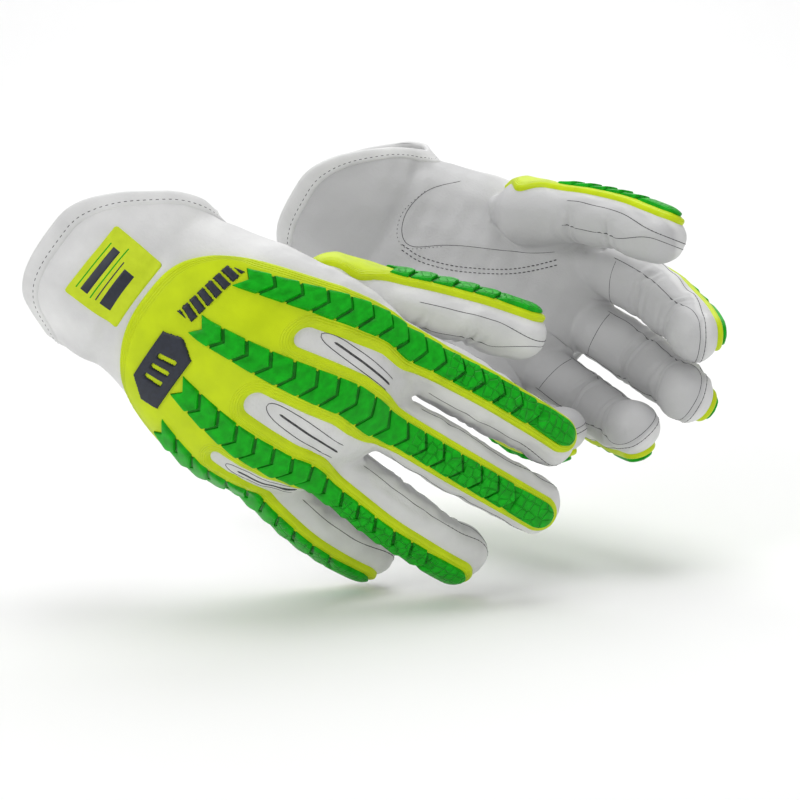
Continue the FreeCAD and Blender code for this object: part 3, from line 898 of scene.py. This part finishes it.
def cuff_label(kit, fabric, green, dark):
    x0, x1 = LABEL[:2]
    v0, v1 = (float(arc_of(t)) for t in LABEL[:1:-1])
    hand_patch(kit, "label", lambda x, v: box_inside(x, v, (x0, v0), (x1, v1), 1.5), (x0, v0),
               (x1, v1), -0.5, 0.7, "label", fabric, ["cuff_label"])
    marks = [("label_line_1", 3.0, 3.9, 0.12, 0.80, "ribs", green),
             ("label_bar", 5.2, 9.4, 0.14, 0.78, "dark_trim", dark),
             ("label_line_2", 10.6, 11.5, 0.12, 0.88, "ribs", green),
             ("label_rule", 12.9, 13.8, 0.14, 0.72, "dark_trim", dark),
             ("label_block", 15.2, 20.6, 0.14, 0.66, "dark_trim", dark)]
    for name, a, b, start, stop, slot, material in marks:
        low = (x0 + a, v0 + (v1 - v0) * start)
        high = (x0 + b, v0 + (v1 - v0) * stop)
        hand_patch(kit, name, lambda x, v: box_inside(x, v, low, high, 0.45), low, high, 0.4, 0.88,
                   slot, material, cell=0.4)


def emblem(kit, dark):
    """A plain long hexagonal badge with slots in it, on the guard by the wrist."""
    v0, v1 = (float(arc_of(t)) for t in EMBLEM[:1:-1])
    centre = (EMBLEM[0] + EMBLEM[1]) / 2
    middle, reach = (v0 + v1) / 2, (v1 - v0) / 2

    def inside(x, v):
        x, v = x - centre, v - middle
        d = np.minimum(7.4 - np.abs(x), (reach - np.abs(v)) * 0.86 - (np.abs(x) - 2.5) * 0.5)
        for k in (-1, 0, 1):
            slot = np.maximum(np.abs(v - 5.4 * k - 0.5 * x) - 1.05, np.abs(x) - 3.6)
            d = np.minimum(d, slot)
        return d
    hand_patch(kit, "badge", inside, (EMBLEM[0] - 1, v0 - 1), (EMBLEM[1] + 1, v1 + 1),
               GUARD - 0.5, GUARD + 1.3, "dark_trim", dark, ["emblem"], cell=0.45)


def accent_bar(kit, dark):
    """A row of slanted blocks along the guard's wrist edge."""
    v0, v1 = (float(arc_of(t)) for t in ACCENT[:1:-1])
    step = (v1 - v0) / 6
    centre = (ACCENT[0] + ACCENT[1]) / 2

    def inside(x, v):
        x = x - centre - 0.12 * (v - (v0 + v1) / 2)
        along_bar = (v - v0 + 0.35 * x) / step
        gap = 0.5 * step - 0.55 - np.abs(along_bar - np.floor(along_bar) - 0.5) * step
        return np.minimum(np.minimum(3.2 - np.abs(x), gap),
                          np.minimum(v - v0, v1 - v) + 1.0)
    hand_patch(kit, "accent_blocks", inside, (centre - 7, v0 - 1), (centre + 7, v1 + 1),
               GUARD - 0.5, GUARD + 1.2, "dark_trim", dark, ["accent_bar"], cell=0.45)


# ---------------------------------------------------------------- seams and stitches

def evenly(path, pitch):
    """Points every pitch mm along a polyline."""
    run = np.concatenate([[0], np.cumsum(np.linalg.norm(np.diff(path, axis=0), axis=1))])
    at = np.linspace(0, run[-1], max(int(run[-1] / pitch), 2))
    return np.stack([np.interp(at, run, path[:, k]) for k in range(3)], -1)


def outward_at(points):
    return np.array([FLAT_TREE.find_nearest(Vector(p))[1] for p in points])


def thread(path, radius, sink, sides=5):
    """A thin round cord along a path on the leather."""
    n = outward_at(path)
    ahead = unit(np.gradient(path, axis=0))
    n = unit(n - ahead * np.sum(n * ahead, 1, keepdims=True))
    across = np.cross(ahead, n)
    turn = np.arange(sides) * 2 * math.pi / sides
    taper = np.ones(len(path))
    taper[[0, -1]] = 0.3
    ring = (np.cos(turn)[:, None] * across[:, None] + np.sin(turn)[:, None] * n[:, None])
    points = path[:, None] - n[:, None] * sink + ring * (radius * taper)[:, None, None]
    m, k = points.shape[:2]
    index = np.arange(m * k).reshape(m, k)
    faces = looped(index)
    faces = [*map(tuple, faces), tuple(index[0]), tuple(index[-1][::-1])]
    return points.reshape(-1, 3), faces


def joined(parts):
    """One mesh from several."""
    points, faces, k = [], [], 0
    for p, f in parts:
        points.append(p)
        faces += [tuple(int(i) + k for i in face) for face in f]
        k += len(p)
    return np.concatenate(points), faces


def stitches(path, pitch=2.9, length=1.8, radius=0.24):
    """Short lengths of thread one after another along a path."""
    fine = evenly(path, 0.45)
    per, on = max(int(pitch / 0.45), 3), max(int(length / 0.45), 2)
    return [thread(fine[i:i + on + 1], radius, -0.02) for i in range(0, len(fine) - on - 1, per)]


def seam(path):
    """The fine dark line where two hides meet."""
    return [thread(evenly(path, 1.2), 0.26, 0.1, 4)]


def on_side(name, s, across, lean):
    """A point on a finger: across from 1 at its thumb side through -1, lean degrees over its middle."""
    length, w, _ = size_of(name)
    root, ahead, side, up = FLAT[name]
    base = np.minimum(s, length - w)
    wide, high = np.vectorize(lambda q: digit_section(name, q))(base)
    e = np.radians(lean)
    past = np.clip((s - base) / (w * 1.5708), 0, 1) * math.pi / 2
    t = wide * np.cos(e) * np.cos(past) * across
    forward = base + w * np.cos(e) * np.sin(past)
    z = high * np.sin(e)
    direction = (np.sin(past) * np.cos(e))[:, None] * ahead + (np.cos(past) * np.cos(e) * across
                                                            )[:, None] * side + np.sin(e)[:, None] * up
    return root + forward[:, None] * ahead + t[:, None] * side + z[:, None] * up, direction


def finger_seam(name, start, low, tip):
    """A seam that runs round a finger's outline, low degrees over its middle, tip at the fingertip."""
    length, w, _ = size_of(name)
    end = length - w + w * 1.5708
    s = np.linspace(start, end, 60)
    lean = low + (tip - low) * ease((s - length + 30) / 26)
    one, n1 = on_side(name, s, np.ones(60), lean)
    two, n2 = on_side(name, s[::-1], -np.ones(60), lean[::-1])
    return laid(np.concatenate([one, two[1:]]), np.concatenate([n1, n2[1:]]))


def through(places, density):
    """A smooth plane curve through the places, with density points to each."""
    places = np.array(places, float)
    run = np.arange(len(places))
    fine = np.linspace(0, len(places) - 1, density * len(places))
    return along(fine, run, places[:, 0]), along(fine, run, places[:, 1])


def hand_path(places):
    """A smooth path over the hand through (x, v) places, laid on the leather."""
    x, v = through(places, 12)
    flat, n = on_hand(x, turn_at(v))
    return laid(flat, n, 14)


def palm_path(places):
    """A smooth path over the palm through (x, y) places, laid on the leather."""
    x, y = through(places, 10)
    part = np.clip(y / hand_section(x)[0], -0.99, 0.99)
    flat, n = on_hand(x, 360 - np.degrees(np.arccos(power(part, SQUARENESS / 2))))
    return laid(flat, n, 22)


def thumb_seams():
    """The oval seam round the thumb's base, and two rows of stitches under it."""
    oval = [(14, 42), (3, 30), (-1, 15), (3, 3), (12, 0), (28, 11), (54, 28), (80, 47)]
    rows = [(6, -2), (20, -3), (40, 3), (62, 19), (82, 43)]
    parts = seam(palm_path(oval))
    parts += stitches(palm_path([(x - 1.6, y - 2.2) for x, y in oval[1:6]]), 2.4, 1.3, 0.2)
    for off in (0, 2.7):
        parts += stitches(palm_path([(x + 0.5 * off, y - off) for x, y in rows]), 3.1, 2.0, 0.3)
    return parts


def base_seam(name):
    """The seam across a finger's base on the palm side."""
    angle = np.radians(np.linspace(125, 235, 20))
    s = CROTCH[name] + 3.5 + 3.0 * np.cos((angle - math.pi) * 1.3)
    flat, n = on_digit(name, s, angle * digit_section(name, CROTCH[name])[0])
    return laid(flat, n)


def stitching(kit, dark):
    """All seams and stitches, one piece for the hand and one for each finger."""
    for name in DIGITS:
        start = CROTCH[name] + 2
        back, palm = finger_seam(name, start, 24, 9), finger_seam(name, start, -34, -4)
        tip = len(back) // 2
        parts = seam(back) + seam(palm) + stitches(back[tip - 26:tip + 26], 2.6, 1.4, 0.22)
        if name != "thumb":
            parts += seam(base_seam(name))
        points, faces = joined(parts)
        kit.piece(name + "_stitching", points, faces, "dark_trim", dark, digit=name)
    parts = []
    for i, start in enumerate(WINDOW_START):
        a, b = list(FINGERS)[i:i + 2]
        mid = float(ray_v(a, 75) + ray_v(b, 75)) / 2
        half = float(ray_v(a, 75) - ray_v(b, 75)) / 2 - RAY_HALF
        far = 96
        loop = [(far, mid + half * 0.55), (start + 24, mid + half * 0.6), (start + 12, mid + half * 0.45),
                (start + 8, mid), (start + 12, mid - half * 0.45), (start + 24, mid - half * 0.6),
                (far, mid - half * 0.55)]
        parts += seam(hand_path(loop))
        # A thicker dark cord down each window's middle: painted shade for the shaded slit where the two
        # fourchettes meet.
        parts.append(thread(evenly(hand_path([(start + 14, mid), (start + 30, mid), (far, mid)]), 1.2),
                            0.5, 0.2, 5))
    parts += thumb_seams()
    edge = np.arange(0, 361, 3.0)
    x = cuff_x(edge) + 5.6
    flat, n = on_hand(x, edge)
    line = laid(flat, n) + n * 0.62
    parts += stitches(line, 3.1, 1.9, 0.22)
    points, faces = joined(parts)
    kit.piece("hand_stitching", points, faces, "dark_trim", dark)


# ---------------------------------------------------------------- materials

class Nodes:
    """Short names for building a material's node tree."""

    def __init__(self, name, colour, roughness, **sockets):
        self.material = bpy.data.materials.new(name)
        self.material.use_nodes = True
        self.tree = self.material.node_tree
        self.shader = self.tree.nodes["Principled BSDF"]
        self.shader.inputs["Base Color"].default_value = (*colour, 1)
        self.shader.inputs["Roughness"].default_value = roughness
        for key, value in sockets.items():
            self.shader.inputs[key.replace("_", " ")].default_value = value
        self.material.diffuse_color = (*colour, 1)

    def add(self, kind, **values):
        node = self.tree.nodes.new("ShaderNode" + kind)
        for key, value in values.items():
            if hasattr(node, key):
                setattr(node, key, value)
            else:
                node.inputs[key.replace("_", " ")].default_value = value
        return node

    def link(self, source, target):
        self.tree.links.new(source, target)

    def attribute(self, name, output="Vector"):
        node = self.add("Attribute", attribute_name=name)
        return node.outputs[output]

    def noise(self, vector, scale, detail=3.0, roughness=0.5):
        node = self.add("TexNoise", Scale=scale, Detail=detail, Roughness=roughness)
        self.link(vector, node.inputs["Vector"])
        return node.outputs["Fac"]

    def cells(self, vector, scale, feature="F1", dimensions="3D", jitter=1.0):
        node = self.add("TexVoronoi", feature=feature, Scale=scale, voronoi_dimensions=dimensions,
                        Randomness=jitter)
        self.link(vector, node.inputs["Vector"])
        return node.outputs["Distance"]

    def ramp(self, value, low, high, a, b):
        """A value from a to b, or a colour from a to b, as value goes from low to high."""
        if isinstance(a, tuple):
            node = self.add("ValToRGB")
            node.color_ramp.elements[0].position = low
            node.color_ramp.elements[1].position = high
            node.color_ramp.elements[0].color = (*a, 1)
            node.color_ramp.elements[1].color = (*b, 1)
            self.link(value, node.inputs["Fac"])
            return node.outputs["Color"]
        node = self.add("MapRange")
        for key, v in zip(("From Min", "From Max", "To Min", "To Max"), (low, high, a, b)):
            node.inputs[key].default_value = v
        self.link(value, node.inputs["Value"])
        return node.outputs["Result"]

    def maths(self, operation, a, b):
        node = self.add("Math", operation=operation)
        for socket, v in zip(node.inputs, (a, b)):
            if isinstance(v, (int, float)):
                socket.default_value = v
            else:
                self.link(v, socket)
        return node.outputs[0]

    def bump(self, height, distance, strength=1.0, under=None):
        node = self.add("Bump", Strength=strength, Distance=distance)
        self.link(height, node.inputs["Height"])
        if under is not None:
            self.link(under, node.inputs["Normal"])
        return node.outputs["Normal"]

    def finish(self, colour=None, roughness=None, normal=None):
        for key, value in (("Base Color", colour), ("Roughness", roughness), ("Normal", normal)):
            if value is not None:
                self.link(value, self.shader.inputs[key])
        return self.material


def hide_material():
    m = Nodes("white grain leather", (0.8, 0.8, 0.79), 0.5)
    at = m.attribute("flat")
    grain = m.cells(at, 900)
    broad = m.noise(at, 45, 4)
    creases = m.noise(at, 160, 5, 0.65)
    # Random broad tone, with painted shade on the palm side: the leather there is darkened by the palm
    # attribute.
    tone_and_painted_shade = m.maths("SUBTRACT", broad, m.maths("MULTIPLY", m.attribute("palm", "Fac"), 0.9))
    colour = m.ramp(tone_and_painted_shade, 0.0, 0.75, (0.52, 0.52, 0.525), (0.77, 0.77, 0.765))
    rough = m.ramp(creases, 0.3, 0.7, 0.44, 0.6)
    normal = m.bump(grain, 0.00012, 0.5, m.bump(creases, 0.0006, 0.45, m.bump(broad, 0.002, 0.25)))
    return m.finish(colour, rough, normal)


def guard_material():
    m = Nodes("yellow moulded rubber", (0.6, 0.75, 0.0), 0.42, Specular_IOR_Level=0.3)
    at = m.attribute("flat")
    edge = m.attribute("edge", "Fac")
    wave = m.maths("SINE", m.maths("MULTIPLY", edge, 2 * math.pi / 0.95), 0)
    band = m.maths("MULTIPLY", m.ramp(edge, 1.4, 1.8, 0.0, 1.0), m.ramp(edge, 4.6, 5.0, 1.0, 0.0))
    lines = m.maths("MULTIPLY", wave, band)
    mottle = m.noise(at, 120, 4)
    colour = m.ramp(mottle, 0.3, 0.7, (0.52, 0.66, 0.0), (0.60, 0.75, 0.0))
    rough = m.ramp(mottle, 0.3, 0.7, 0.36, 0.5)
    normal = m.bump(lines, 0.00012, 0.8, m.bump(m.noise(at, 2600, 2), 0.00006, 0.5))
    return m.finish(colour, rough, normal)


def rib_material():
    m = Nodes("green moulded rubber", (0.0, 0.5, 0.02), 0.4, Specular_IOR_Level=0.22)
    at = m.attribute("cell")
    walls = m.cells(at, 280, "DISTANCE_TO_EDGE", "2D", 0.55)
    joint = m.ramp(walls, 0.02, 0.11, 1.0, 0.0)
    groove = m.maths("MULTIPLY", joint, m.attribute("pebble", "Fac"))
    height = m.maths("SUBTRACT", 1.0, groove)
    mottle = m.noise(at, 300, 3)
    # Darker in the hex-cell grooves, and painted shade in the low gap rows between the chevron ribs.
    dark = m.maths("MAXIMUM", m.maths("MULTIPLY", groove, 0.16),
                   m.maths("MULTIPLY", m.attribute("gap", "Fac"), 0.42))
    tone_and_painted_shade = m.maths("SUBTRACT", mottle, dark)
    colour = m.ramp(tone_and_painted_shade, 0.0, 0.7, (0.0, 0.16, 0.0), (0.001, 0.46, 0.006))
    rough = m.ramp(mottle, 0.3, 0.7, 0.34, 0.48)
    normal = m.bump(height, 0.0004, 0.9, m.bump(m.noise(at, 1500, 2), 0.00012, 0.4))
    return m.finish(colour, rough, normal)


def dark_material():
    m = Nodes("blue-black rubber", (0.012, 0.016, 0.03), 0.45)
    at = m.add("TexCoord").outputs["Object"]
    mottle = m.noise(at, 500, 3)
    colour = m.ramp(mottle, 0.3, 0.7, (0.009, 0.012, 0.022), (0.018, 0.023, 0.04))
    return m.finish(colour, m.ramp(mottle, 0.3, 0.7, 0.38, 0.55), m.bump(mottle, 0.0001, 0.4))


def thread_material():
    m = Nodes("grey thread", (0.05, 0.05, 0.055), 0.8)
    at = m.add("TexCoord").outputs["Object"]
    mottle = m.noise(at, 900, 2)
    colour = m.ramp(mottle, 0.3, 0.7, (0.03, 0.03, 0.035), (0.09, 0.09, 0.095))
    return m.finish(colour, None, m.bump(mottle, 0.00008, 0.6))


def label_material():
    m = Nodes("yellow woven label", (0.58, 0.72, 0.02), 0.7)
    at = m.attribute("flat")
    split = m.add("SeparateXYZ")
    m.link(at, split.inputs[0])
    one = m.maths("SINE", m.maths("MULTIPLY", split.outputs[0], 9000.0), 0)
    two = m.maths("SINE", m.maths("MULTIPLY", split.outputs[1], 9000.0), 0)
    weave = m.maths("MULTIPLY", one, two)
    colour = m.ramp(m.noise(at, 200, 3), 0.3, 0.7, (0.54, 0.67, 0.004), (0.62, 0.76, 0.01))
    return m.finish(colour, None, m.bump(weave, 0.00008, 0.6))


def floor_material():
    m = Nodes("floor", (0.93, 0.93, 0.93), 0.95)
    return m.finish()


# ---------------------------------------------------------------- the pair

hide = hide_material()
yellow = guard_material()
green = rib_material()
dark = dark_material()
grey = thread_material()
label_cloth = label_material()

for hand in GLOVES:
    kit = Kit(Glove(hand, ORIGIN))
    leather(kit, hide)
    hem(kit, hide)
    hand_guard(kit, yellow)
    thumb_saddle(kit, yellow)
    for digit in DIGITS:
        finger_strip(kit, digit, yellow)
        ribs(kit, digit, green)
    cuff_label(kit, label_cloth, green, dark)
    emblem(kit, dark)
    accent_bar(kit, dark)
    stitching(kit, grey)

# ---------------------------------------------------------------- studio

bpy.context.scene.view_settings.view_transform = "Standard"

DISTANCE = 1.300
ELEVATION = 10.0
TARGET = Vector((-ORIGIN * MM).tolist())

FLOOR_Z = TARGET.z - 0.107


def backdrop():
    """A floor that curves up into a wall behind the gloves."""
    turn = np.radians(np.arange(0, 91, 6))
    profile = [(-4.0, 0.0), *zip(3.0 + 1.5 * np.sin(turn), 1.5 - 1.5 * np.cos(turn)), (4.5, 6.0)]
    verts = [(TARGET.x + x, TARGET.y + y, FLOOR_Z + z) for y, z in profile for x in (-6, 6)]
    faces = [(2 * i, 2 * i + 1, 2 * i + 3, 2 * i + 2) for i in range(len(profile) - 1)]
    mesh = bpy.data.meshes.new("floor")
    mesh.from_pydata(verts, [], faces)
    mesh.polygons.foreach_set("use_smooth", [True] * len(faces))
    mesh.materials.append(floor_material())
    obj = bpy.data.objects.new("floor", mesh)
    bpy.context.scene.collection.objects.link(obj)


backdrop()

camera_data = bpy.data.cameras.new("camera")
camera = bpy.data.objects.new("camera", camera_data)
bpy.context.scene.collection.objects.link(camera)
tilt = math.radians(ELEVATION)
aim = TARGET - Vector((0, math.sin(tilt), math.cos(tilt))) * 0.013
camera.location = aim + Vector((0, -math.cos(tilt), math.sin(tilt))) * DISTANCE
camera.rotation_euler = (math.radians(90 - ELEVATION), 0, 0)
camera_data.lens = 134.6
camera_data.sensor_width = 36
camera_data.clip_end = 20
bpy.context.scene.camera = camera


def area_light(name, place, size, power, towards, colour=(1, 1, 1)):
    data = bpy.data.lights.new(name, "AREA")
    data.shape = "DISK"
    data.size = size
    data.energy = power
    data.color = colour
    light = bpy.data.objects.new(name, data)
    bpy.context.scene.collection.objects.link(light)
    light.location = TARGET + Vector(place)
    light.rotation_euler = (TARGET + Vector(towards) - light.location).to_track_quat("-Z", "Y").to_euler()


area_light("top", (0.1, 0.1, 1.3), 0.9, 7.5, (0, 0.05, 0))
area_light("front left", (-1.3, -1.2, 1.0), 0.8, 10, (0, 0, 0))
area_light("floor", (0, 2.4, 2.2), 3.0, 46, (0, 2.6, -0.1))
area_light("front right", (1.3, -1.2, 0.5), 1.2, 2, (0, 0, 0))

world = bpy.data.worlds.new("studio")
world.use_nodes = True
world.node_tree.nodes["Background"].inputs[0].default_value = (1, 1, 1, 1)
world.node_tree.nodes["Background"].inputs[1].default_value = 0.45
bpy.context.scene.world = world

bpy.context.view_layer.update()
